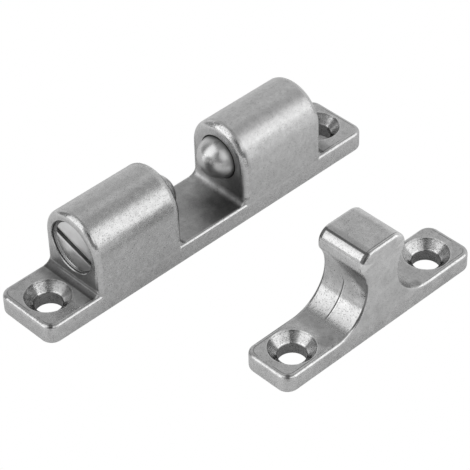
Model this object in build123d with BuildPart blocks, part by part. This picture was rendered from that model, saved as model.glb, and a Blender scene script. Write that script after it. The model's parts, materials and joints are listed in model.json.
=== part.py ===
"""Double ball catch for a cupboard door: the catch with its two sprung balls, and its strike.

The catch lies on its mounting face (z = 0), with its length along X and the origin at the centre of that
face. The strike stands in front of it on the same surface, with its own mounting face down.
"""
import os
from math import cos, pi, sin, sqrt

from build123d import *

os.makedirs("parts", exist_ok=True)

# Catch body
base_length = 60.0
base_width = 10.8
base_thickness = 3.22
base_corner_radius = 1.8
base_edge_round = 0.6
base_lower_round = 0.6
barrel_gap = 12.0
gap_floor_step = 0.2
end_pad_length = 9.0
bore_height = 8.82
barrel_edge_round = 0.8
foot_fillet = 1.1

# Screw holes, the same in both castings
screw_hole_diameter = 4.0
countersink_diameter = 6.6
countersink_angle = 90.0
catch_screw_inset = 4.35
strike_screw_inset = 4.95

# Balls and the bores that they run in
ball_diameter = 6.5
ball_clearance = 0.05
lip_overlap = 0.012
lip_depth = 0.35
mouth_chamfer = 0.05
seat_clearance = 0.02

# Adjusting plugs, which screw into the outer end of each bore
thread_diameter = 8.0
thread_clearance = 0.05
thread_depth = 5.5
bore_mouth_chamfer = 0.12
plug_length = 3.5
plug_recess = 0.4
plug_chamfer = 0.25
slot_width = 1.2
slot_depth = 1.0
left_slot_angle = 17.6
right_slot_angle = -38.0

# Springs between ball and plug
wire_diameter = 0.7
spring_wall_gap = 0.35
active_turns = 3.5
closed_turns = 0.75
closed_turn_gap = 0.02
points_per_turn = 12

# Strike
strike_length = 35.7
strike_width = 8.25
strike_thickness = 2.95
strike_corner_radius = 1.8
strike_edge_round = 0.55
strike_lower_round = 0.6
strike_height = 15.15
neck_width = 5.9
head_width = 8.2
head_height = 2.8
head_corner_radius = 2.1
chin_radius = 1.0
strike_x = 3.28
strike_y = -30.05

# Places that follow from the sizes
half_width = base_width / 2
barrel_inner = barrel_gap / 2
barrel_outer = base_length / 2 - end_pad_length
barrel_length = barrel_outer - barrel_inner
catch_screw_spacing = base_length - 2 * catch_screw_inset
strike_screw_spacing = strike_length - 2 * strike_screw_inset
ball_radius = ball_diameter / 2
ball_bore = ball_radius + ball_clearance
mouth_radius = ball_radius - lip_overlap
gap_floor = base_thickness - gap_floor_step
lip_x = barrel_inner + mouth_chamfer
ball_x = lip_x + sqrt(ball_radius**2 - mouth_radius**2) + seat_clearance
thread_bore = thread_diameter / 2
plug_radius = thread_bore - thread_clearance
plug_outer = barrel_outer - plug_recess
plug_inner = plug_outer - plug_length
thread_end = barrel_outer - thread_depth
wire_radius = wire_diameter / 2
coil_radius = ball_bore - spring_wall_gap - wire_radius
spring_ball_end = ball_x + sqrt((ball_radius + wire_radius + seat_clearance) ** 2 - coil_radius**2)
spring_plug_end = plug_inner - wire_radius - seat_clearance
screw_hole_radius = screw_hole_diameter / 2
countersink_radius = countersink_diameter / 2


def finish(part, name):
    """Name a finished piece and write it out."""
    part.label = name
    export_step(part, f"parts/{name}.step")


def base_plate(thickness):
    """The catch's plate at one thickness, with rounded corners and softened edges."""
    with BuildPart() as plate:
        with BuildSketch():
            RectangleRounded(base_length, base_width, base_corner_radius)
        extrude(amount=thickness)
        fillet(plate.faces().sort_by(Axis.Z)[-1].edges(), base_edge_round)
        fillet(plate.faces().sort_by(Axis.Z)[0].edges(), base_lower_round)
    return plate.part


# Foot cove: the cast fillet between a barrel's end face and the base, turned round the barrel's two end
# corners and cut off where the plate's softened edges begin to fall. In the gap it stands on the lower floor
corner_y = half_width - barrel_edge_round
cove_root = base_thickness / 2
cove_back = barrel_outer - barrel_edge_round / 2
cove_toe = barrel_outer + foot_fillet
cove_top = base_thickness + foot_fillet
with BuildPart() as cove:
    with BuildSketch(Plane.XZ.offset(corner_y)) as cove_section:
        with BuildLine():
            Polyline(
                (barrel_outer, cove_top),
                (cove_back, cove_top),
                (cove_back, cove_root),
                (cove_toe, cove_root),
                (cove_toe, base_thickness),
            )
            CenterArc((cove_toe, cove_top), foot_fillet, 180, 90)
        make_face()
    extrude(amount=-2 * corner_y)
    for side in (-1, 1):
        with BuildSketch(Plane.XZ.offset(-side * corner_y)):
            add(cove_section.sketch_local)
        revolve(
            axis=Axis((barrel_outer - barrel_edge_round, side * corner_y, 0), (0, 0, 1)),
            revolution_arc=side * 90,
        )
    with BuildSketch():
        Rectangle(2 * cove_toe, base_width - base_edge_round)
    extrude(amount=cove_top, mode=Mode.INTERSECT)

# One barrel of the casting, round over the bore, with its end edges softened and a cove at each foot
with BuildPart() as barrel:
    with BuildSketch(Plane.YZ.offset(barrel_inner)):
        with Locations((0, bore_height)):
            Circle(half_width)
        with Locations((0, cove_root)):
            Rectangle(base_width, bore_height - cove_root, align=(Align.CENTER, Align.MIN))
    extrude(amount=barrel_length)
    end_edges = barrel.faces().filter_by(Axis.X).edges().group_by(Axis.Z)
    fillet([edge for level in end_edges[1:] for edge in level], barrel_edge_round)
    add(cove.part)
    with Locations((0, 0, -gap_floor_step)):
        add(mirror(cove.part, about=Plane.YZ.offset((barrel_inner + barrel_outer) / 2), mode=Mode.PRIVATE))

# Bore of one barrel: a chamfered mouth just smaller than the ball, the ball bore, and the wider threaded end
with BuildPart() as bore:
    with BuildSketch(Plane.XZ):
        with BuildLine():
            Polyline(
                (barrel_inner - mouth_chamfer, bore_height),
                (barrel_inner - mouth_chamfer, bore_height + mouth_radius + 2 * mouth_chamfer),
                (lip_x, bore_height + mouth_radius),
                (barrel_inner + lip_depth, bore_height + ball_bore),
                (thread_end - thread_bore + ball_bore, bore_height + ball_bore),
                (thread_end, bore_height + thread_bore),
                (barrel_outer - bore_mouth_chamfer, bore_height + thread_bore),
                (barrel_outer + bore_mouth_chamfer, bore_height + thread_bore + 2 * bore_mouth_chamfer),
                (barrel_outer + bore_mouth_chamfer, bore_height),
                close=True,
            )
        make_face()
    revolve(axis=Axis((0, 0, bore_height), (1, 0, 0)))

# Catch body: one casting, with a base plate that is thinner between its two barrels, drilled and countersunk
# for two screws
with BuildPart() as catch_body:
    add(base_plate(base_thickness))
    Box(
        barrel_inner + barrel_outer,
        base_width,
        base_thickness,
        align=(Align.CENTER, Align.CENTER, Align.MIN),
        mode=Mode.SUBTRACT,
    )
    add(base_plate(gap_floor))
    add(barrel.part)
    mirror(barrel.part, about=Plane.YZ)
    add(bore.part, mode=Mode.SUBTRACT)
    mirror(bore.part, about=Plane.YZ, mode=Mode.SUBTRACT)
    with Locations((0, 0, base_thickness)):
        with GridLocations(catch_screw_spacing, 0, 2, 1):
            CounterSinkHole(screw_hole_radius, countersink_radius, counter_sink_angle=countersink_angle)
finish(catch_body.part, "catch_body")

# Balls, resting against the lip of their bores, and the plugs that close the bores behind them
for side, sign, slot_angle in (("left", -1, left_slot_angle), ("right", 1, right_slot_angle)):
    with BuildPart() as ball:
        with Locations((sign * ball_x, 0, bore_height)):
            Sphere(ball_radius)
    finish(ball.part, f"{side}_ball")

    outward = Plane((sign * plug_inner, 0, bore_height), x_dir=(0, 1, 0), z_dir=(sign, 0, 0))
    with BuildPart() as plug:
        with BuildSketch(outward):
            Circle(plug_radius)
        extrude(amount=plug_length)
        chamfer(plug.edges(), plug_chamfer)
        with BuildSketch(outward.offset(plug_length)):
            Rectangle(thread_diameter, slot_width, rotation=sign * slot_angle)
        extrude(amount=-slot_depth, mode=Mode.SUBTRACT)
    finish(plug.part, f"{side}_adjusting_plug")

    # Spring: open turns between two closed ends, each closed turn lying against the next
    turns = active_turns + 2 * closed_turns
    closed_rise = closed_turns * (wire_diameter + closed_turn_gap)
    active_rise = spring_plug_end - spring_ball_end - 2 * closed_rise
    steps = round(turns * points_per_turn)
    points = []
    for step in range(steps + 1):
        turned = turns * step / steps
        first = min(turned, closed_turns) / closed_turns
        middle = min(max(turned - closed_turns, 0), active_turns) / active_turns
        last = max(turned - closed_turns - active_turns, 0) / closed_turns
        along = spring_ball_end + (first + last) * closed_rise + middle * active_rise
        angle = 2 * pi * turned
        points.append((sign * along, coil_radius * cos(angle), bore_height + coil_radius * sin(angle)))
    with BuildPart() as spring:
        with BuildLine() as wire_line:
            Spline(*points)
        with BuildSketch(Plane(wire_line.line @ 0, z_dir=wire_line.line % 0)):
            Circle(wire_radius)
        sweep()
    finish(spring.part, f"{side}_spring")

# Strike: one casting, whose nose has a recess on each side for the balls to spring into. Each recess is one
# arc, from the foot's top past the neck to the chin below the head
strike_side = Plane((strike_x, strike_y, 0), x_dir=(1, 0, 0), z_dir=(0, -1, 0))
chin_x = head_width / 2
chin_z = strike_height - head_height
undercut = chin_x - neck_width / 2
chin_rise = chin_z - strike_thickness
neck_radius = chin_rise + undercut - sqrt(2 * chin_rise * undercut)
recess_x = neck_width / 2 + neck_radius
recess_z = strike_thickness + neck_radius
with BuildPart() as strike:
    with BuildSketch(strike_side) as strike_outline:
        with BuildLine():
            base_top = Line((strike_length / 2, strike_thickness), (recess_x, strike_thickness))
            recess = ThreePointArc(base_top @ 1, (neck_width / 2, recess_z), (chin_x, chin_z))
            cheek = Line(recess @ 1, (chin_x, strike_height))
            Line(cheek @ 1, (0, strike_height))
            Line((0, strike_height), (0, 0))
            Line((0, 0), (strike_length / 2, 0))
            Line((strike_length / 2, 0), base_top @ 0)
        make_face()
        head_corner = strike_outline.vertices().sort_by_distance((chin_x, strike_height))[0]
        fillet(head_corner, head_corner_radius)
        chin = strike_outline.vertices().sort_by_distance((chin_x, chin_z))[0]
        fillet(chin, chin_radius)
        mirror(about=Plane.YZ)
    extrude(amount=strike_width / 2, both=True)
    end_corners = strike.edges().filter_by(Axis.Z).group_by(Axis.X)
    fillet(end_corners[0] + end_corners[-1], strike_corner_radius)
    side_edges = strike.faces().filter_by(Axis.Y).edges().group_by(Axis.Z)
    fillet([edge for level in side_edges[2:] for edge in level], strike_edge_round)
    fillet(strike.faces().sort_by(Axis.Z)[0].edges(), strike_lower_round)
    with Locations((strike_x, strike_y, strike_thickness)):
        with GridLocations(strike_screw_spacing, 0, 2, 1):
            CounterSinkHole(screw_hole_radius, countersink_radius, counter_sink_angle=countersink_angle)
finish(strike.part, "strike")
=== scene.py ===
"""Looks of the double ball catch and its strike: tumbled castings, polished balls, turned plugs and light."""
import json
import math

import bmesh
import bpy
from mathutils import Matrix, Vector


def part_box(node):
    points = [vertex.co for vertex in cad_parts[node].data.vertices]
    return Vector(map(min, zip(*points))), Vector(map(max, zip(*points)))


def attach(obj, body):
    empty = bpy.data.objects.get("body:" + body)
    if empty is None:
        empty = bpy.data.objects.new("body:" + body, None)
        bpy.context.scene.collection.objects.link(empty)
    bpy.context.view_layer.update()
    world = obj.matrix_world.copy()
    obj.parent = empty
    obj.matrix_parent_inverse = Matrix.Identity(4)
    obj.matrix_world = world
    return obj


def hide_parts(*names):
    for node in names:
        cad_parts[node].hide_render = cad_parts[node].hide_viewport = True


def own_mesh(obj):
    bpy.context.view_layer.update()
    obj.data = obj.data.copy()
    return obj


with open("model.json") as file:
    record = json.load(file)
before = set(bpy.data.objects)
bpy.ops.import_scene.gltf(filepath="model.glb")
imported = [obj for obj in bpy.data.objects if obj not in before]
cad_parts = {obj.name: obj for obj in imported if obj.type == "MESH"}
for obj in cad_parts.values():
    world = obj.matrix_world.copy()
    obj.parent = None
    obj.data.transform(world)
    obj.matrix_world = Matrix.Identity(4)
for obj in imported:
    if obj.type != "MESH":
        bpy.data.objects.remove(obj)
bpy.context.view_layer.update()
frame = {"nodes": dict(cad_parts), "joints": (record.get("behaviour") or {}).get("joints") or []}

MM = 0.001
TURN = 2 * math.pi

# Places on the catch and the strike, in metres, read from the frame
joints = {joint["name"]: joint for joint in frame["joints"]}
catch_low, catch_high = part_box("catch_body")
strike_low, strike_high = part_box("strike")
BORE_HEIGHT = joints["left_plug_turn"]["pos_m"][2]
BALL_TRAVEL = joints["left_ball_press"]["range_m"][1]
PLUG_TRAVEL = joints["left_plug_advance"]["range_m"][1]
STRIKE_CENTRE = ((strike_high.x + strike_low.x) / 2, (strike_high.y + strike_low.y) / 2)

# Sizes that the castings are made to, in metres, with holes, bores and rounds by their radius
CATCH_PLATE = {"half": (catch_high.x, catch_high.y), "corner": 1.8 * MM, "thickness": 3.22 * MM}
STRIKE_PLATE = {
    "half": ((strike_high.x - strike_low.x) / 2, (strike_high.y - strike_low.y) / 2),
    "corner": 1.8 * MM,
    "thickness": 2.95 * MM,
}
CATCH_SCREWS = 51.3 * MM
STRIKE_SCREWS = 25.8 * MM
SCREW_HOLE = 2.0 * MM
COUNTERSINK = 3.3 * MM
BARREL_INNER = 6.0 * MM
BARREL_OUTER = 21.0 * MM
BARREL_RADIUS = 5.4 * MM
INNER_WORN_ROUND = 1.3 * MM
OUTER_WORN_ROUND = 0.95 * MM
BALL_MOUTH = 3.24 * MM
PLUG_BORE = 4.0 * MM
HEAD_CORNER = (2.0 * MM, 13.05 * MM)
PARTING_LINE = 0.25 * MM

# Threads of the plugs and their bores: 60 degree flanks, truncated as on a metric thread, with the widths of
# their crests as shares of the pitch
PITCH = 1.0 * MM
PLUG_CREST = 3.95 * MM
PLUG_ROOT = 3.34 * MM
PLUG_CHAMFER = 0.25 * MM
BORE_CREST = 3.46 * MM
BORE_ROOT = 3.985 * MM
PLUG_CREST_WIDTH = 0.125
BORE_CREST_WIDTH = 0.25
FLANK = math.tan(math.radians(30))
SAMPLES_PER_PITCH = 16
SIDES = 96

# The sleeve that lines each bore with its thread: its ends, its lead in and the radius of its back
SLEEVE_START = 15.52 * MM
SLEEVE_END = BARREL_OUTER - 0.6 * MM
SLEEVE_LEAD = 0.45 * MM
SLEEVE_BACK = 4.02 * MM

# Slots of the plugs, and how far each is turned from level, in degrees
SLOT_WIDTH = 0.95 * MM
SLOT_DEPTH = 1.0 * MM
SLOT_TILT = {"left": 17.6, "right": -38.0}
SLOT_WEAR = 0.05 * MM

# Springs: their wire, their coils, and the clearances between closed turns and between a spring's four parts
HALF_WIRE = 0.35 * MM
WIRE_SIDES = 16
COIL_RADIUS = 2.6 * MM
CLOSED_TURNS = 0.75
ACTIVE_TURNS = 3.5
POINTS_PER_TURN = 36
CLOSED_CLEARANCE = 0.02 * MM
PART_CLEARANCE = 0.01 * MM

# An edge that turns by more than these angles, in degrees, is shaded sharp on a thread or a wire, and is worn
# on a slot
THREAD_SHARP = 40
WIRE_SHARP = 50
SLOT_SHARP = 75

# Greys of the metals, and how dull each is, from 0 for a mirror to 1
GREY = {"catch": 0.605, "strike": 0.62, "ball": 0.66, "plug": 0.84, "wire": 0.45, "thread": 0.50}
DULLNESS = {"casting": 0.27, "rubbed": 0.13, "ball": 0.28, "plug": 0.30, "wire": 0.30, "thread": 0.34}

# How large the blotches of the textures are, and the pitch of the marks of the tools that turned the metal
GRAIN = 0.20 * MM
MOTTLE = 0.75 * MM
PITTING = 0.19 * MM
CLOUDS = 3.5 * MM
WAVES = 1.6 * MM
SCUFFS = 0.25 * MM
SMEARS = 1.6 * MM
DRAWN_MARKS = 0.1 * MM
TORN_MARKS = 0.15 * MM
CUTTER_PITCH = 0.16 * MM
FACING_PITCH = 0.12 * MM

# Spots on the right ball: a scuff with a painted highlight where the strike slides in, a painted highlight
# where it rides over, and a darker spot near the mouth
BALL_SCUFF_HIGHLIGHT = (5.1 * MM, -2.2 * MM, 10.8 * MM)
BALL_RIDDEN_HIGHLIGHT = (3.35 * MM, -0.15 * MM, 10.0 * MM)
BALL_DARK_SPOT = (5.4 * MM, -0.45 * MM, 11.9 * MM)

# Camera, where the photograph's was: the point that it looks at, and its turn, height and tilt in degrees
CAMERA_TARGET = Vector((2.671, -6.549, 0.4)) * MM
CAMERA_DISTANCE = 306.57 * MM
CAMERA_AZIMUTH = -42.674
CAMERA_ELEVATION = 40.700
CAMERA_ROLL = -1.950
CAMERA_LENS = 168.5

# Light of the studio's walls, and the patches that are darker or brighter. Each patch has its light, then the
# bands of turn and of lift in degrees that it fills. A lift that starts straight down has no lower edge
STRAIGHT_DOWN = (-91.0, -90.0)
WALL_LIGHT = 0.665
WALL_PATCHES = (
    (0.40, (44.0, 56.0, 96.0, 108.0), (44.0, 52.0, 62.0, 72.0)),
    (0.24, (-80.0, -62.0, -8.0, 8.0), (*STRAIGHT_DOWN, 40.0, 56.0)),
    (1.15, (-34.0, -24.0, 4.0, 14.0), (16.0, 26.0, 44.0, 54.0)),
    (0.25, (-172.0, -162.0, -139.0, -133.0), (*STRAIGHT_DOWN, 46.0, 58.0)),
)
CEILING_LIGHT = 0.32
CAMERA_SHADE = 0.06
LAMP_DISTANCE = 0.6
WHITE = (1.0, 1.0, 1.0, 1.0)

# Floor: its paper, half its width, the middle of the set on it, and the shadow seen through the catch's right
# screw hole
PAPER = (0.84, 0.84, 0.84, 1.0)
FLOOR_HALF = 2.0
SET_MIDDLE = (0.0, -14.0 * MM)
HOLE_SHADOW = (CATCH_SCREWS / 2 + 0.8 * MM, 0.85 * MM)


class Value:
    """A number that nodes work out for each point of a surface. Arithmetic on it adds Math nodes."""

    def __init__(self, finish, socket):
        self.finish = finish
        self.socket = socket

    def combine(self, operation, *others):
        return self.finish.node("ShaderNodeMath", {"operation": operation}, self, *others)

    def __add__(self, other):
        return self.combine("ADD", other)

    def __sub__(self, other):
        return self.combine("SUBTRACT", other)

    def __rsub__(self, other):
        return self.combine("MULTIPLY_ADD", -1.0, other)

    def __mul__(self, other):
        return self.combine("MULTIPLY", other)

    __radd__ = __add__
    __rmul__ = __mul__

    def least(self, other):
        return self.combine("MINIMUM", other)

    def most(self, other):
        return self.combine("MAXIMUM", other)

    def size(self):
        return self.combine("ABSOLUTE")

    def sine(self):
        return self.combine("SINE")

    def power(self, exponent):
        return self.combine("POWER", exponent)

    def angle(self, other):
        """Angle of the point (other, self) from the first axis, in degrees."""
        return self.combine("ARCTAN2", other) * math.degrees(1)

    def ramp(self, start, end):
        """Smoothly from 0 at start to 1 at end, and level past both."""
        settings = {"interpolation_type": "SMOOTHSTEP"}
        return self.finish.node("ShaderNodeMapRange", settings, self, start, end, 0.0, 1.0)

    def band(self, start, rise, fall, end):
        """1 between rise and fall, and smoothly 0 outside start and end."""
        return self.ramp(start, rise) * self.ramp(end, fall)

    def ramp_mm(self, start, end):
        """A ramp of a distance in metres, between two places given in millimetres."""
        return self.ramp(start * MM, end * MM)

    def band_mm(self, start, rise, fall, end):
        """A band of a distance in metres, between places given in millimetres."""
        return self.band(start * MM, rise * MM, fall * MM, end * MM)

    def towards(self, other, share):
        """Part of the way from this to another value, by a share from 0 to 1."""
        return self + (other - self) * share


class Finish:
    """A material or world and the nodes that are added to it."""

    def __init__(self, owner):
        owner.use_nodes = True
        self.owner = owner
        self.tree = owner.node_tree
        self.tree.nodes.clear()

    def add(self, kind, settings=None, *values, **named):
        """One node: its settings first, then the values or links of its sockets, in order or by name."""
        node = self.tree.nodes.new(kind)
        for name, setting in (settings or {}).items():
            setattr(node, name, setting)
        sockets = [socket for socket in node.inputs if socket.enabled]
        by_name = [(node.inputs[name.replace("_", " ")], value) for name, value in named.items()]
        for socket, value in [*zip(sockets, values), *by_name]:
            if isinstance(value, Value):
                self.tree.links.new(value.socket, socket)
            elif value is not None:
                socket.default_value = value
        return node

    def node(self, kind, settings=None, *values, output=0, **named):
        return Value(self, self.add(kind, settings, *values, **named).outputs[output])

    def place(self, centre=(0.0, 0.0, 0.0)):
        """Object coordinates about a centre, as a vector and as its three numbers, in metres."""
        coordinates = self.node("ShaderNodeTexCoord", output="Object")
        vector = self.node("ShaderNodeVectorMath", {"operation": "SUBTRACT"}, coordinates, centre)
        split = self.add("ShaderNodeSeparateXYZ", None, vector)
        return vector, [Value(self, socket) for socket in split.outputs]

    def noise(self, vector, grain, detail, roughness=0.5):
        """Noise from 0 to 1 about 0.5, whose blotches are about one grain (in metres) across."""
        return self.node(
            "ShaderNodeTexNoise", None, vector, Scale=1 / grain, Detail=detail, Roughness=roughness
        )

    def grey(self, value):
        return self.node("ShaderNodeCombineColor", None, value, value, value)

    def bump(self, height, distance, normal=None):
        return self.node(
            "ShaderNodeBump", None, Strength=1.0, Distance=distance, Height=height, Normal=normal
        )

    def metal(self, grey, roughness, normal):
        shader = self.node(
            "ShaderNodeBsdfPrincipled", None,
            Base_Color=self.grey(grey), Metallic=1.0, Roughness=roughness, Normal=normal
        )
        self.add("ShaderNodeOutputMaterial", None, shader)
        return self.owner


def reach(x, y):
    """Distance from the middle of x and y."""
    return (x.power(2.0) + y.power(2.0)).power(0.5)


def corner_distance(x, y, plate):
    """How far a point lies outside a plate's rounded outline, negative inside."""
    radius = plate["corner"]
    along = x.size() - (plate["half"][0] - radius)
    across = y.size() - (plate["half"][1] - radius)
    outside = reach(along.most(0.0), across.most(0.0))
    return outside + along.most(across).least(0.0) - radius


def worn_edge(out, past, radius):
    """How far a barrel's end edge has worn down to a radius, from how far a point lies out and past the start
    of the wear."""
    across = (out - (BARREL_RADIUS - radius)).most(0.0)
    return (reach(across, past.most(0.0)) - radius).most(0.0)


def strongest(*masks):
    """The greatest of several masks, each with its strength."""
    whole = None
    for mask, strength in masks:
        mask = mask * strength
        whole = whole.most(mask) if whole else mask
    return whole


class Casting(Finish):
    """Tumbled cast stainless: a fine pitted grain, slow waves left by the tumbling, and polished edges with a
    little painted sheen.
    """

    def __init__(self, name, centre, plate, screw_spacing):
        super().__init__(bpy.data.materials.new(name))
        vector, (self.x, self.y, self.z) = self.place((*centre, 0.0))
        self.grain = self.noise(vector, GRAIN, 3.0, 0.6)
        self.mottle = self.noise(vector, MOTTLE, 3.0, 0.6)
        self.pits = self.noise(vector, PITTING, 1.0).ramp(0.62, 0.68)
        self.clouds = self.noise(vector, CLOUDS, 3.0)
        self.waves = self.noise(vector, WAVES, 2.0)
        self.mark_screw_holes(screw_spacing)
        self.mark_pads(plate)

    def mark_screw_holes(self, spacing):
        """Masks of the countersunk cones and of the holes, which get painted shade, a polished ring with a
        painted highlight at each edge, and a groove inside drawn as a line of painted shade.
        """
        screw = reach(self.x.size() - spacing / 2, self.y)
        past_cone, past_hole = screw - COUNTERSINK, screw - SCREW_HOLE
        self.cone = past_cone.ramp_mm(0.06, 0.0)
        self.hole = past_hole.ramp_mm(0.12, 0.02)
        self.cutting = (screw * (TURN / CUTTER_PITCH)).sine() * self.cone
        cone_ring = past_cone.band_mm(-0.02, 0.03, 0.07, 0.12)
        hole_ring = past_hole.band_mm(0.02, 0.10, 0.16, 0.24)
        self.rings = cone_ring.most(hole_ring) * 0.8
        self.groove = past_cone.band_mm(-0.24, -0.18, -0.10, -0.03)

    def mark_pads(self, plate):
        """Masks of the pads' polished upper edge, which gets a little painted sheen, a broken dark line
        inside it, and a painted dark reflection at a corner.
        """
        half_length, half_width = plate["half"]
        outside = corner_distance(self.x, self.y, plate)
        above_pad = self.z - plate["thickness"]
        # The edge is duller along the right-hand pad
        duller = self.x.ramp(half_length * 0.45, half_length * 0.55) * 0.45
        self.edge = outside.ramp_mm(-0.7, -0.3) * (1.0 - duller) * above_pad.band_mm(-0.75, -0.5, 0.0, 0.3)
        line = outside.band_mm(-0.76, -0.70, -0.64, -0.58) * above_pad.band_mm(-0.08, -0.03, 0.03, 0.1)
        on_pads = self.x.size().ramp(half_length * 0.6, half_length * 0.7)
        self.line = line * self.clouds.ramp(0.44, 0.52) * on_pads
        near_left = reach(self.x + (half_length - 0.78 * MM), self.y + (half_width - 0.70 * MM))
        self.spot = near_left.ramp_mm(0.42, 0.14) * above_pad.ramp_mm(-0.9, -0.6)

    def finished(self, grey, unevenness, dullness, shine, hollow, rubbed, crease=None, worn=None):
        """The material. It is dull and darkened where hollow is 1, which holds painted shade, and polished to
        the shine, with a little painted sheen, where the mask of polish is 1. A crease is a sunk line,
        darkened with painted shade.
        Worn is how far the surface has worn down, in metres and negative."""
        rubbed = rubbed.most(self.rings)
        coarseness = 1.0 + self.cone * 1.2
        grey = grey + (self.grain - 0.5) * coarseness * 0.26 + (self.mottle - 0.5) * 0.30
        grey = grey + (self.clouds - 0.5) * unevenness
        # Polished places get a little painted sheen, and the rings at the screw holes a painted highlight
        grey = (grey - self.pits * coarseness * 0.115 + rubbed * 0.04 + self.rings * 0.16).most(0.03)
        # Painted shade and painted dark reflections darken the hollows, the crease, the holes, the groove and
        # the corner spot, and the pads' broken line is darker too
        darker = (
            (hollow, 1.0), (crease, 0.75), (self.hole, 0.5),
            (self.groove, 0.22), (self.spot, 0.6), (self.line, 0.5),
        )
        for mask, strength in darker:
            if mask:
                grey = grey * (1.0 - mask * strength)
        roughness = dullness + (self.grain - 0.5) * 0.12 + self.pits * 0.10 - self.cone * 0.07
        roughness = roughness.towards(shine, rubbed) + hollow * 0.30
        relief = (
            (worn, 1.0),
            (self.waves, 0.035 * MM),
            (self.grain + self.mottle - self.pits * 0.8, 0.009 * MM),
            (self.cutting, 0.0012 * MM),
            (crease, -0.04 * MM),
        )
        normal = None
        for height, depth in relief:
            if height:
                normal = self.bump(height, depth, normal)
        return self.metal(grey, roughness, normal)


def catch_steel():
    """The catch: dull and darkened with painted shade in the coves at the barrels' feet, between the barrels
    and round the balls.
    """
    casting = Casting("catch_casting", (0.0, 0.0), CATCH_PLATE, CATCH_SCREWS)
    along, y, z = casting.x, casting.y, casting.z
    x = along.size()
    past_inner, past_outer = x - BARREL_INNER, x - BARREL_OUTER
    above_pad, above_bore = z - CATCH_PLATE["thickness"], z - BORE_HEIGHT
    bore = reach(y, above_bore)
    # How far out of a barrel's middle: from the bore's axis above it, and sideways below it
    out = y.size().most(bore * above_bore.ramp_mm(-0.1, 0.0))
    on_barrel = above_pad.ramp_mm(0.5, 1.0)
    inside = (y.size() - BARREL_RADIUS).ramp_mm(-0.1, -0.6)
    left = along.ramp_mm(-5.0, -7.0)
    right = along.ramp_mm(5.0, 8.0) * on_barrel

    # Outer feet: painted shade from each barrel's low end face to the toe of its cove, with one lighter
    # painted line
    face = past_outer.ramp_mm(0.12, 0.0) * above_pad.ramp_mm(4.4, 1.0)
    cove = past_outer.band_mm(-0.02, 0.12, 1.0, 1.5)
    light_line = (past_outer - 0.24 * MM).size().ramp_mm(0.08, 0.02) * y.ramp_mm(4.0, 1.0)
    toe = past_outer.band_mm(0.9, 1.3, 1.6, 3.4)
    foot = strongest((face, 0.40), (cove, 0.74 - light_line * 0.16), (toe, 0.42))
    foot = foot * past_outer.ramp_mm(-0.2, 0.0) * above_pad.ramp_mm(4.6, 3.0) * inside

    # Gap: painted shade, darker towards the right barrel and the front, in blotches, and lighter along a line
    # at each barrel's foot
    shade = along.ramp_mm(-5.0, 4.5) * y.ramp_mm(4.5, -1.5)
    shade_blotches = casting.clouds.ramp(0.40, 0.62)
    lighter = past_inner.band_mm(-1.0, -0.75, -0.4, -0.15) * above_pad.ramp_mm(1.2, 0.8)
    gap = past_inner.ramp_mm(0.5, -0.05) * z.ramp_mm(11.5, 6.0) * inside
    gap = gap * (0.16 + shade * 0.38 + shade_blotches * 0.14) * (1.0 - lighter * 0.1)

    # Painted shade in the gap round each ball and on the bore's wall outside each plug, and the wall's
    # polished mouth, with a little painted sheen
    past_mouth, past_bore = bore - BALL_MOUTH, bore - PLUG_BORE
    ring = past_mouth.band_mm(-0.3, -0.1, 0.14, 0.22) * past_inner.band_mm(-0.5, -0.3, 2.0, 3.0)
    wall = past_bore.band_mm(-0.4, -0.3, -0.01, 0.02) * past_outer.ramp_mm(-0.37, -0.31)
    mouth = past_bore.band_mm(0.0, 0.03, 0.12, 0.16) * past_outer.ramp_mm(-0.2, -0.15)

    # A thin dark line of painted shade along the left barrel's inner end
    end_line = (along + BARREL_INNER).band_mm(-0.24, -0.16, -0.04, 0.1)
    end_line = end_line * out.ramp_mm(4.3, 4.6) * above_pad.ramp_mm(0.3, 0.6)
    hollow = strongest((foot, 1.0), (gap, 1.0), (ring, 0.92), (wall, 0.92), (end_line, 0.6))

    # Ends of the barrels, worn, polished with a little painted sheen, and rounder than they were cast
    ends = past_inner.ramp_mm(0.85, 0.6).most(past_outer.ramp_mm(-0.85, -0.6))
    rims = out.ramp_mm(4.3, 4.7) * ends * on_barrel
    inner_wear = worn_edge(out, INNER_WORN_ROUND - past_inner, INNER_WORN_ROUND)
    outer_wear = worn_edge(out, past_outer + OUTER_WORN_ROUND, OUTER_WORN_ROUND)
    worn = inner_wear.most(outer_wear) * on_barrel * -1.0

    # Painted light and shade: the tops of the pads darker, a lighter and a darker painted streak round the
    # right barrel by the angle from its crown to its front, the ends lighter, the front of the plate lighter
    # past the barrels and darker between them, the left part and the low front of the left barrel darker, the
    # far cone darker, and a painted highlight on the crown by the right ball
    pad_tops = above_pad.band_mm(-0.3, -0.1, 0.02, 0.1)
    turn = (y * -1.0).angle(above_bore)
    streaks = turn.band(64.0, 72.0, 95.0, 115.0) * 0.05 - turn.band(50.0, 57.0, 62.0, 68.0) * 0.09
    end_faces = (x - catch_high.x).ramp_mm(-0.4, -0.1)
    front = (y - catch_low.y).ramp_mm(0.4, 0.1) * above_pad.ramp_mm(0.0, -0.3)
    front = front * (past_outer.ramp_mm(0.0, 2.0) * 0.025 - x.ramp_mm(7.0, 5.0) * 0.035)
    low_front = y.ramp_mm(-4.9, -5.2) * left * past_outer.ramp_mm(0.0, -1.0) * z.ramp_mm(6.0, 2.0)
    far_cone = casting.cone * along.ramp_mm(20.0, 21.0)
    crown = along.band_mm(6.04, 6.12, 6.4, 6.8) * y.band_mm(0.2, 0.7, 1.8, 2.5) * z.ramp_mm(12.8, 13.2)
    grey = GREY["catch"] - pad_tops * 0.045 - left * 0.025 - low_front * 0.025 - far_cone * 0.12
    grey = grey + right * streaks + end_faces * 0.07 + front + crown * 0.2

    # The right barrel is duller
    dullness, shine = DULLNESS["casting"] + right * 0.06, DULLNESS["rubbed"] + right * 0.09
    rubbed = casting.edge.most(rims).most(mouth)
    return casting.finished(grey, 0.10, dullness, shine, hollow, rubbed, worn=worn)


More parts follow.
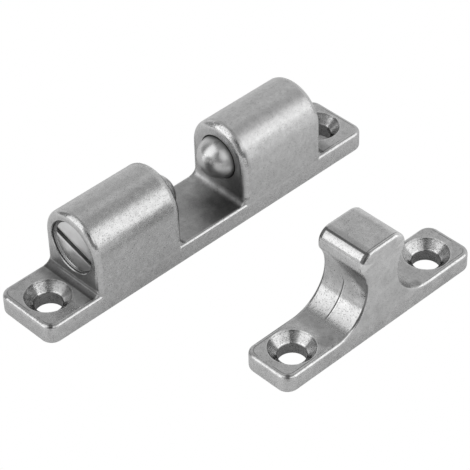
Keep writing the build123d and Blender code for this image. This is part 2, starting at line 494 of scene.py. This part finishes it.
def strike_steel():
    """The strike: its head's corner polished by the balls, with a painted highlight strip, painted shade and
    painted dark reflections, and the mould's parting line down each recess.
    """
    casting = Casting("strike_casting", STRIKE_CENTRE, STRIKE_PLATE, STRIKE_SCREWS)
    along, y, z = casting.x, casting.y, casting.z
    x, across = along.size(), y.size()
    above_foot = z - STRIKE_PLATE["thickness"]
    left = along.ramp_mm(0.0, -1.0)
    right = 1.0 - left

    # Parting line, a crease darkened with painted shade, with one polished flank that has a painted highlight
    beside = y - PARTING_LINE
    run = z.band_mm(3.3, 3.8, 7.6, 8.5) * x.ramp_mm(7.6, 6.8)
    line = beside.size().ramp_mm(0.11, 0.03) * run
    flank = (beside + 0.18 * MM).size().ramp_mm(0.10, 0.03) * run

    # Head's corner, by the angle round it from straight up: a painted highlight strip, painted dark
    # reflections along its outline and at its ends, and a painted highlight below it
    turn = (x - HEAD_CORNER[0]).angle(z - HEAD_CORNER[1])
    on_corner = z.ramp_mm(12.2, 12.6) * x.ramp_mm(2.0, 2.1)
    highlight_strip = turn.band(31.0, 34.5, 64.0, 67.0) * on_corner * across.ramp_mm(3.55, 3.45)
    outline = turn.band(19.0, 24.0, 29.0, 33.5).most(turn.band(66.0, 67.0, 68.0, 70.0) * 0.3)
    outline = outline * on_corner * across.ramp_mm(4.05, 3.9)
    strip_ends = turn.band(16.0, 22.0, 62.0, 68.0) * on_corner * across.band_mm(3.35, 3.45, 3.95, 4.05)
    below_strip = turn.band(64.0, 70.0, 98.0, 108.0) * z.ramp_mm(11.6, 12.2)

    # Painted shade under the chin, darker towards the front
    chin = (z - y * 0.5).ramp_mm(9.4, 10.4) * z.band_mm(7.5, 8.5, 11.1, 11.8) * x.ramp_mm(4.3, 3.9)
    chin = chin * y.ramp_mm(2.2, -2.0) * y.ramp_mm(-4.05, -3.7)

    # Painted shade at the toe of each recess, darker still at the right one's near end, and a dark patch on
    # the left foot
    toe = (above_foot.ramp_mm(1.3, 0.0) * 0.14).most(above_foot.band_mm(0.2, 0.4, 0.6, 1.0) * 0.24)
    toe = toe * x.band_mm(3.0, 4.0, 8.0, 10.0) * across.ramp_mm(3.9, 3.5)
    right_toe = right * y.band_mm(-3.98, -3.75, -3.4, -1.6) * z.band_mm(2.9, 3.1, 5.0, 8.0)
    left_foot_dark_patch = reach(along + 9.0 * MM, y + 2.4 * MM).ramp_mm(1.7, 0.7) * z.ramp_mm(4.6, 3.4)

    # Thin painted dark reflections inside the near edge of the head's top, and where the recesses meet the
    # nose's sides
    near_line = (y + 3.5 * MM).size().ramp_mm(0.11, 0.03) * z.ramp_mm(14.9, 15.05)
    side_lines = across.band_mm(3.66, 3.74, 3.90, 3.98) * z.band_mm(3.5, 4.0, 9.5, 10.5)
    side_lines = side_lines * x.ramp_mm(7.9, 7.4)
    hollow = strongest(
        (outline.most(strip_ends) * left, 0.72), (side_lines, 0.6), (chin, 0.5), (toe, 1.0),
        (right_toe, 0.40), (left_foot_dark_patch, 0.3), (near_line, 0.5),
    )

    # The recesses are worn smoother than the rest, and the nose's side edges are polished with a little
    # painted sheen
    recess = above_foot.ramp_mm(0.1, 0.6) * z.ramp_mm(12.6, 12.0)
    recess = recess * x.ramp_mm(8.6, 7.6) * across.ramp_mm(4.0, 3.7)
    side_edges = across.ramp_mm(3.5, 3.8) * above_foot.ramp_mm(-0.6, 0.0)
    # Painted light and shade: the end faces lighter, all but the side faces darker and the right foot's top
    # darker still, the lower front darker, and painted highlights along the head's far edges
    end_faces = (x - STRIKE_PLATE["half"][0]).ramp_mm(-0.4, -0.1)
    middle = across.ramp_mm(3.9, 3.6) * (0.04 + right * z.ramp_mm(4.0, 3.0) * 0.04)
    lower_front = y.ramp_mm(-4.0, -4.1) * z.band_mm(3.0, 4.5, 8.5, 10.0)
    far_edges = (turn.ramp(2.0, 14.0) * right * x.ramp_mm(1.9, 2.1)).most(y.ramp_mm(3.35, 3.75))
    far_edges = far_edges * z.ramp_mm(13.6, 14.4)
    grey = GREY["strike"] - middle - lower_front * 0.022 + end_faces * 0.14 + below_strip * 0.13
    grey = grey + flank * 0.15 + far_edges * 0.12 + recess * (0.02 - casting.pits * 0.05)
    dullness = DULLNESS["casting"] - recess * (0.13 - casting.pits * 0.06)
    rubbed = side_edges.most(highlight_strip).most(flank)
    return casting.finished(grey, 0.26, dullness, DULLNESS["rubbed"], hollow, rubbed, crease=line)


def ball_steel():
    """Hardened balls, polished and with a little scuffing, painted shade towards their mouths, and painted
    highlights and a darker spot on the right one.
    """
    finish = Finish(bpy.data.materials.new("ball_steel"))
    vector, (x, y, z) = finish.place()
    scuffs = finish.noise(vector, SCUFFS, 3.0, 0.6)
    scuffed_highlight, ridden_highlight, dark_spot = (
        finish.node("ShaderNodeVectorMath", {"operation": "DISTANCE"}, vector, middle, output=1)
        + (scuffs - 0.5) * (1.2 * MM)
        for middle in (BALL_SCUFF_HIGHLIGHT, BALL_RIDDEN_HIGHLIGHT, BALL_DARK_SPOT)
    )
    scuffed_highlight, ridden_highlight, dark_spot = scuffed_highlight.ramp_mm(1.0, 0.5), ridden_highlight.ramp_mm(0.8, 0.2), dark_spot.ramp_mm(0.5, 0.2)
    # Dulled and darkened with painted shade towards the front and below, where it meets its mouth
    inward, above_bore = x.size(), z - BORE_HEIGHT
    dulled_and_shaded = strongest(
        (y.ramp_mm(2.2, 0.4) * inward.ramp_mm(4.9, 6.0), 1.0),
        (above_bore.ramp_mm(-0.4, -2.2) * inward.ramp_mm(3.5, 5.0), 0.9),
        (above_bore.ramp_mm(0.4, -0.7), 0.6),
    )
    # Painted highlights on the scuff and where the strike rides over, and a darker spot near the mouth
    grey = GREY["ball"] + (scuffs - 0.5) * 0.06 + scuffed_highlight * (0.10 + scuffs * 0.24)
    grey = grey + ridden_highlight * 0.28 - dark_spot * 0.2
    roughness = DULLNESS["ball"] + (scuffs - 0.5) * 0.06 + scuffed_highlight * 0.19 + dulled_and_shaded * 0.17
    return finish.metal(grey * (1.0 - dulled_and_shaded * 0.65), roughness, finish.bump(scuffs, 0.003 * MM))


def turned_steel():
    """Adjusting plugs, faced on a lathe and smudged by a screwdriver."""
    finish = Finish(bpy.data.materials.new("plug_steel"))
    vector, (x, y, z) = finish.place((0.0, 0.0, BORE_HEIGHT))
    facing_marks = (reach(y, z) * (TURN / FACING_PITCH)).sine()
    smears = finish.noise(vector, SMEARS, 3.0)
    # Paler below the slot, smudged at the front, and painted shade in the slot
    paler = z.ramp_mm(0.5, -1.5)
    smudged = z.ramp_mm(0.0, -4.0) * y.ramp_mm(1.5, -2.5)
    slot = (x.size() - BARREL_OUTER).ramp_mm(-0.46, -0.60)
    grey = (GREY["plug"] + (smears - 0.5) * 0.30 + paler * 0.14) * (1.0 - smudged * 0.2)
    grey = grey.least(0.97) * (1.0 - slot * 0.45)
    roughness = DULLNESS["plug"] + (smears - 0.5) * 0.10
    return finish.metal(grey, roughness, finish.bump(facing_marks, 0.0008 * MM))


def rough_steel(name, kind, blotch, detail, unevenness, depth):
    """A plain steel that a tool has left uneven, by the size, the contrast and the depth of its marks."""
    finish = Finish(bpy.data.materials.new(name))
    vector, _ = finish.place()
    marks = finish.noise(vector, blotch, detail)
    grey = GREY[kind] + (marks - 0.5) * unevenness
    return finish.metal(grey, DULLNESS[kind] + (marks - 0.5) * 0.1, finish.bump(marks, depth))


def dress(node, material):
    """Gives a CAD node one material."""
    slots = frame["nodes"][node].data.materials
    slots.clear()
    slots.append(material)


def link(name, data):
    piece = bpy.data.objects.new(name, data)
    bpy.context.scene.collection.objects.link(piece)
    return piece


def smooth(mesh, material, sharp_degrees):
    """Smooth shading that keeps the edges sharper than an angle, in one material."""
    mesh.materials.clear()
    mesh.materials.append(material)
    mesh.polygons.foreach_set("use_smooth", [True] * len(mesh.polygons))
    mesh.polygons.foreach_set("material_index", [0] * len(mesh.polygons))
    mesh.set_sharp_from_angle(angle=math.radians(sharp_degrees))
    mesh.update()


def made_mesh(name, shape):
    """The mesh of a bmesh, which is then let go."""
    mesh = bpy.data.meshes.new(name)
    shape.to_mesh(mesh)
    shape.free()
    return mesh


def evaluated_mesh(piece):
    """A plain mesh of a piece with its modifiers applied."""
    return bpy.data.meshes.new_from_object(piece.evaluated_get(bpy.context.evaluated_depsgraph_get()))


def flank_depth(phase, crest_width, deepest):
    """How far a thread's profile lies below its crest, at a phase from the crest's middle in turns."""
    off_crest = max(abs((phase + 0.5) % 1.0 - 0.5) - crest_width / 2, 0.0) * PITCH
    return min(off_crest / FLANK, deepest)


def rings_mesh(name, sign, rings, closed):
    """A surface of rings about the bore's axis. Each ring is its distance out from the middle of the catch,
    and a function of the angle that gives its radius. The last ring joins the first where the surface is
    closed, and otherwise both ends are capped."""
    shape = bmesh.new()
    rows = []
    for out, radius in rings:
        row = []
        for side in range(SIDES):
            angle = TURN * side / SIDES
            r = radius(angle)
            place = (sign * out, r * math.cos(angle), BORE_HEIGHT - sign * r * math.sin(angle))
            row.append(shape.verts.new(place))
        rows.append(row)
    pairs = list(zip(rows, rows[1:]))
    if closed:
        pairs.append((rows[-1], rows[0]))
    for near, far in pairs:
        for side in range(SIDES):
            other = (side + 1) % SIDES
            shape.faces.new((near[side], near[other], far[other], far[side]))
    if not closed:
        shape.faces.new(rows[0])
        shape.faces.new(rows[-1])
    bmesh.ops.recalc_face_normals(shape, faces=shape.faces)
    return made_mesh(name, shape)


def threaded_plug(side, sign, material):
    """The adjusting plug with its thread and slot."""
    node = f"{side}_adjusting_plug"
    low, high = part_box(node)
    outer, inner = (high.x, low.x) if sign > 0 else (-low.x, -high.x)
    steps = round((outer - inner) / PITCH * SAMPLES_PER_PITCH)
    rings = []
    for step in range(steps + 1):
        out = outer - (outer - inner) * step / steps
        limit = PLUG_CREST - PLUG_CHAMFER + min(outer - out, out - inner)

        def radius(angle, out=out, limit=limit):
            phase = -out / PITCH - angle / TURN
            return min(PLUG_CREST - flank_depth(phase, PLUG_CREST_WIDTH, PLUG_CREST - PLUG_ROOT), limit)

        rings.append((out, radius))
    plug = link(f"{side}_threaded_plug", rings_mesh(f"{side}_threaded_plug", sign, rings, closed=False))

    # The slot is cut by a bar that is longer than the plug is wide
    bit = bmesh.new()
    bmesh.ops.create_cube(bit, size=1.0)
    bmesh.ops.scale(bit, vec=(2 * SLOT_DEPTH, 3 * PLUG_BORE, SLOT_WIDTH), verts=bit.verts)
    tilt = Matrix.Rotation(math.radians(SLOT_TILT[side]), 3, "X")
    bmesh.ops.rotate(bit, matrix=tilt, verts=bit.verts)
    bmesh.ops.translate(bit, vec=(sign * outer, 0.0, BORE_HEIGHT), verts=bit.verts)
    cutter = link("slot_bit", made_mesh("slot_bit", bit))
    cut = plug.modifiers.new("slot", "BOOLEAN")
    cut.operation = "DIFFERENCE"
    cut.solver = "EXACT"
    cut.object = cutter
    worn = plug.modifiers.new("worn_slot_edges", "BEVEL")
    worn.width = SLOT_WEAR
    worn.segments = 2
    worn.limit_method = "ANGLE"
    worn.angle_limit = math.radians(SLOT_SHARP)
    made = evaluated_mesh(plug)
    plug.modifiers.clear()
    plug.data = made
    bpy.data.objects.remove(cutter)
    smooth(made, material, THREAD_SHARP)
    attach(plug, f"{side}_plug")
    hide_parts(node)


def bore_thread(side, sign, material):
    """The thread cut inside the outer end of a barrel, as a thin sleeve that lines the bore."""
    length = SLEEVE_END - SLEEVE_START
    steps = round(length / PITCH * SAMPLES_PER_PITCH)
    rings = []
    for step in range(steps + 1):
        out = SLEEVE_START + length * step / steps
        limit = BORE_ROOT - min(out - SLEEVE_START, SLEEVE_END - out) * (BORE_ROOT - BORE_CREST) / SLEEVE_LEAD

        def radius(angle, out=out, limit=limit):
            phase = -out / PITCH - angle / TURN + 0.5
            return max(BORE_CREST + flank_depth(phase, BORE_CREST_WIDTH, BORE_ROOT - BORE_CREST), limit)

        rings.append((out, radius))
    rings.append((SLEEVE_END, lambda angle: SLEEVE_BACK))
    rings.append((SLEEVE_START, lambda angle: SLEEVE_BACK))
    sleeve = link(f"{side}_bore_thread", rings_mesh(f"{side}_bore_thread", sign, rings, closed=True))
    smooth(sleeve.data, material, THREAD_SHARP)
    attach(sleeve, "catch")


def wire_tree():
    """Geometry nodes that turn a centre line into round wire with closed ends, and the identifiers of their
    inputs."""
    tree = bpy.data.node_groups.new("drawn_wire", "GeometryNodeTree")
    tree.interface.new_socket("Centre Line", in_out="INPUT", socket_type="NodeSocketGeometry")
    radius = tree.interface.new_socket("Wire Radius", in_out="INPUT", socket_type="NodeSocketFloat")
    sides = tree.interface.new_socket("Sides", in_out="INPUT", socket_type="NodeSocketInt")
    finish = tree.interface.new_socket("Finish", in_out="INPUT", socket_type="NodeSocketMaterial")
    tree.interface.new_socket("Wire", in_out="OUTPUT", socket_type="NodeSocketGeometry")
    given = tree.nodes.new("NodeGroupInput")
    section = tree.nodes.new("GeometryNodeCurvePrimitiveCircle")
    drawn = tree.nodes.new("GeometryNodeCurveToMesh")
    shaded = tree.nodes.new("GeometryNodeSetShadeSmooth")
    real = tree.nodes.new("GeometryNodeRealizeInstances")
    coated = tree.nodes.new("GeometryNodeSetMaterial")
    result = tree.nodes.new("NodeGroupOutput")
    drawn.inputs["Fill Caps"].default_value = True
    join = tree.links.new
    join(given.outputs["Wire Radius"], section.inputs["Radius"])
    join(given.outputs["Sides"], section.inputs["Resolution"])
    join(given.outputs["Centre Line"], drawn.inputs["Curve"])
    join(section.outputs["Curve"], drawn.inputs["Profile Curve"])
    join(drawn.outputs["Mesh"], shaded.inputs["Geometry"])
    join(shaded.outputs["Geometry"], real.inputs["Geometry"])
    join(real.outputs["Geometry"], coated.inputs["Geometry"])
    join(given.outputs["Finish"], coated.inputs["Material"])
    join(coated.outputs["Geometry"], result.inputs["Wire"])
    return tree, radius.identifier, sides.identifier, finish.identifier


def spring_line(sign, ball_end, plug_end, closed_rise):
    """Centre line of a spring: open turns between two closed ends."""
    active_rise = plug_end - ball_end - 2 * closed_rise
    turns = ACTIVE_TURNS + 2 * CLOSED_TURNS
    count = round(turns * POINTS_PER_TURN)
    points = []
    for step in range(count + 1):
        turned = turns * step / count
        first = min(turned, CLOSED_TURNS) / CLOSED_TURNS
        middle = min(max(turned - CLOSED_TURNS, 0.0), ACTIVE_TURNS) / ACTIVE_TURNS
        last = max(turned - CLOSED_TURNS - ACTIVE_TURNS, 0.0) / CLOSED_TURNS
        along = ball_end + (first + last) * closed_rise + middle * active_rise
        angle = TURN * turned
        y, z = COIL_RADIUS * math.cos(angle), BORE_HEIGHT + COIL_RADIUS * math.sin(angle)
        points.append((sign * along, y, z))
    return points


def drawn_spring(side, points, material, wire):
    """The mesh of a spring's wire along its centre line."""
    line = bpy.data.curves.new(f"{side}_spring_line", "CURVE")
    line.dimensions = "3D"
    spline = line.splines.new("POLY")
    spline.points.add(len(points) - 1)
    for point, place in zip(spline.points, points):
        point.co = (*place, 1.0)
    coil = link(f"{side}_spring_line", line)
    tree, radius, sides, finish = wire
    drawn = coil.modifiers.new("wire", "NODES")
    drawn.node_group = tree
    drawn[radius] = HALF_WIRE
    drawn[sides] = WIRE_SIDES
    drawn[finish] = material
    whole = evaluated_mesh(coil)
    bpy.data.objects.remove(coil)
    return whole


def cut_between(name, whole, sign, start, end, material):
    """The part of a mesh between two distances from the middle of the catch, with its cuts closed."""
    shape = bmesh.new()
    shape.from_mesh(whole)
    for place, outwards in ((start, -sign), (end, sign)):
        everything = shape.verts[:] + shape.edges[:] + shape.faces[:]
        plane = {"plane_co": (sign * place, 0.0, 0.0), "plane_no": (outwards, 0.0, 0.0)}
        cut = bmesh.ops.bisect_plane(shape, geom=everything, clear_outer=True, **plane)
        open_edges = [edge for edge in cut["geom_cut"] if isinstance(edge, bmesh.types.BMEdge)]
        bmesh.ops.holes_fill(shape, edges=open_edges, sides=0)
    bmesh.ops.recalc_face_normals(shape, faces=shape.faces)
    mesh = made_mesh(name, shape)
    smooth(mesh, material, WIRE_SHARP)
    return link(name, mesh)


def parted_spring(side, sign, material, wire):
    """The spring in four parts: its end turns are attached to the ball's body and to the spring's own, and
    the coils next to the ball and the rest, split where the two travels share them out, to the catch."""
    node = f"{side}_spring"
    low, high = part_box(node)
    ball_end = (low.x if sign > 0 else -high.x) + HALF_WIRE
    plug_end = (high.x if sign > 0 else -low.x) - HALF_WIRE
    closed_rise = CLOSED_TURNS * (2 * HALF_WIRE + CLOSED_CLEARANCE)
    whole = drawn_spring(side, spring_line(sign, ball_end, plug_end, closed_rise), material, wire)

    # Where the end turns stop, and where the coils are shared out by the two travels
    end_turn = closed_rise + HALF_WIRE + CLOSED_CLEARANCE
    first, last = ball_end + end_turn, plug_end - end_turn
    middle = first + (last - first) * BALL_TRAVEL / (BALL_TRAVEL + PLUG_TRAVEL)
    beyond, gap = 2 * HALF_WIRE, PART_CLEARANCE
    by_ball, by_plug = BALL_TRAVEL / (middle - first), PLUG_TRAVEL / (last - middle)
    parts = (
        ("ball_turn", ball_end - beyond, first, f"{side}_ball", None, 0.0),
        ("ball_coils", first + gap, middle - gap, "catch", f"{side}_ball_press", by_ball),
        ("plug_coils", middle + gap, last - gap, "catch", f"{side}_plug_advance", by_plug),
        ("plug_turn", last, plug_end + beyond, f"{side}_spring", None, 0.0),
    )
    for part, start, end, body, joint, pressed in parts:
        piece = cut_between(f"{side}_spring_{part}", whole, sign, start, end, material)
        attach(piece, body)
        if joint:
            sign * middle
            1 - pressed
            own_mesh(piece)
        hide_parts(node)
    bpy.data.meshes.remove(whole)


def direction(azimuth, elevation):
    """From the object towards a viewer at that azimuth (0 looks along +Y) and elevation, in degrees."""
    turn, lift = math.radians(azimuth), math.radians(elevation)
    return Vector((math.sin(turn) * math.cos(lift), -math.cos(turn) * math.cos(lift), math.sin(lift)))


def photo_camera():
    camera = link("photo_camera", bpy.data.cameras.new("photo_camera"))
    back = direction(CAMERA_AZIMUTH, CAMERA_ELEVATION)
    right = Vector((-back.y, back.x, 0.0)).normalized()
    level = Matrix((right, back.cross(right), back)).transposed()
    turned = level @ Matrix.Rotation(math.radians(CAMERA_ROLL), 3, "Z")
    camera.matrix_world = Matrix.Translation(CAMERA_TARGET + back * CAMERA_DISTANCE) @ turned.to_4x4()
    camera.data.lens = CAMERA_LENS
    camera.data.clip_start = 0.01
    bpy.context.scene.camera = camera


def softbox(name, azimuth, elevation, width, height, radiance):
    """A soft lamp that faces the object, with its width and height in degrees as seen from there."""
    light = bpy.data.lights.new(name, "AREA")
    light.shape = "RECTANGLE"
    light.size = 2 * LAMP_DISTANCE * math.tan(math.radians(width / 2))
    light.size_y = 2 * LAMP_DISTANCE * math.tan(math.radians(height / 2))
    light.energy = radiance * math.pi * light.size * light.size_y
    lamp = link(name, light)
    away = direction(azimuth, elevation)
    facing = away.to_track_quat("Z", "Y").to_matrix().to_4x4()
    lamp.matrix_world = Matrix.Translation(away * LAMP_DISTANCE) @ facing


def studio_walls():
    """Pale walls and ceiling, dark behind the camera and past the left lamp. The camera sees plain white."""
    world = bpy.data.worlds.new("studio")
    bpy.context.scene.world = world
    finish = Finish(world)
    ray = finish.node("ShaderNodeTexCoord", output="Generated")
    x, y, z = [Value(finish, socket) for socket in finish.add("ShaderNodeSeparateXYZ", None, ray).outputs]
    turn = x.angle(y * -1.0)
    lift = z.angle(reach(x, y))
    # Darker with height, but for the wall on the right
    east = turn.band(60.0, 75.0, 128.0, 142.0)
    level = WALL_LIGHT - lift.ramp(18.0, 56.0) * 0.22 * (1.0 - east) + east * 0.04
    for light, turns, lifts in WALL_PATCHES:
        level = level.towards(light, turn.band(*turns) * lift.band(*lifts))
    level = level.towards(CEILING_LIGHT, lift.ramp(64.0, 76.0))
    behind = tuple(direction(CAMERA_AZIMUTH, CAMERA_ELEVATION))
    facing = finish.node("ShaderNodeVectorMath", {"operation": "DOT_PRODUCT"}, ray, behind, output=1)
    level = level.towards(CAMERA_SHADE, facing.ramp(math.cos(math.radians(15)), math.cos(math.radians(6))))
    walls = finish.node("ShaderNodeBackground", None, finish.grey(level), 1.0)
    white = finish.node("ShaderNodeBackground", None, WHITE, 1.0)
    seen = finish.node("ShaderNodeLightPath", output="Is Camera Ray")
    finish.add("ShaderNodeOutputWorld", None, finish.node("ShaderNodeMixShader", None, seen, walls, white))


def floor():
    """Plain white surface under the catch and its strike."""
    mesh = bpy.data.meshes.new("floor")
    corners = [(x * FLOOR_HALF, y * FLOOR_HALF, 0) for x, y in ((-1, -1), (1, -1), (1, 1), (-1, 1))]
    mesh.from_pydata(corners, [], [(0, 1, 2, 3)])
    finish = Finish(bpy.data.materials.new("white_floor"))
    paper = finish.node("ShaderNodeBsdfDiffuse", None, PAPER)
    white = finish.node("ShaderNodeEmission", None, WHITE, 1.0)
    path = finish.add("ShaderNodeLightPath")
    seen, glossy, through = (
        Value(finish, path.outputs[f"Is {kind} Ray"]) for kind in ("Camera", "Glossy", "Transmission")
    )
    # The floor mirrors brighter further out, where the studio's light isn't shaded by the object
    _, (x, y, _) = finish.place()
    open_floor = reach(x - SET_MIDDLE[0], y - SET_MIDDLE[1]).ramp_mm(25.0, 140.0)
    shadow = reach(x - HOLE_SHADOW[0], y - HOLE_SHADOW[1]).ramp_mm(2.1, 1.7)
    share = seen * (1.0 - shadow * 0.92) + (glossy + through) * (0.15 + open_floor * 0.45)
    mixed = finish.node("ShaderNodeMixShader", None, share, paper, white)
    finish.add("ShaderNodeOutputMaterial", None, mixed)
    mesh.materials.append(finish.owner)
    link("floor", mesh)


photo_camera()
studio_walls()
floor()
softbox("right_softbox", azimuth=37.0, elevation=28.0, width=46.0, height=42.0, radiance=0.82)
softbox("left_softbox", azimuth=-113.0, elevation=40.0, width=46.0, height=60.0, radiance=0.80)
bpy.context.scene.view_settings.view_transform = "Standard"

dress("catch_body", catch_steel())
dress("strike", strike_steel())
polished = ball_steel()
drawn_wire = rough_steel("spring_wire", "wire", DRAWN_MARKS, detail=2.0, unevenness=0.1, depth=0.002 * MM)
turned_plug = turned_steel()
cut_thread = rough_steel("bore_thread", "thread", TORN_MARKS, detail=3.0, unevenness=0.2, depth=0.006 * MM)
wire = wire_tree()
for side, sign in (("left", -1), ("right", 1)):
    dress(f"{side}_ball", polished)
    dress(f"{side}_spring", drawn_wire)
    dress(f"{side}_adjusting_plug", turned_plug)
    threaded_plug(side, sign, turned_plug)
    bore_thread(side, sign, cut_thread)
    parted_spring(side, sign, drawn_wire, wire)
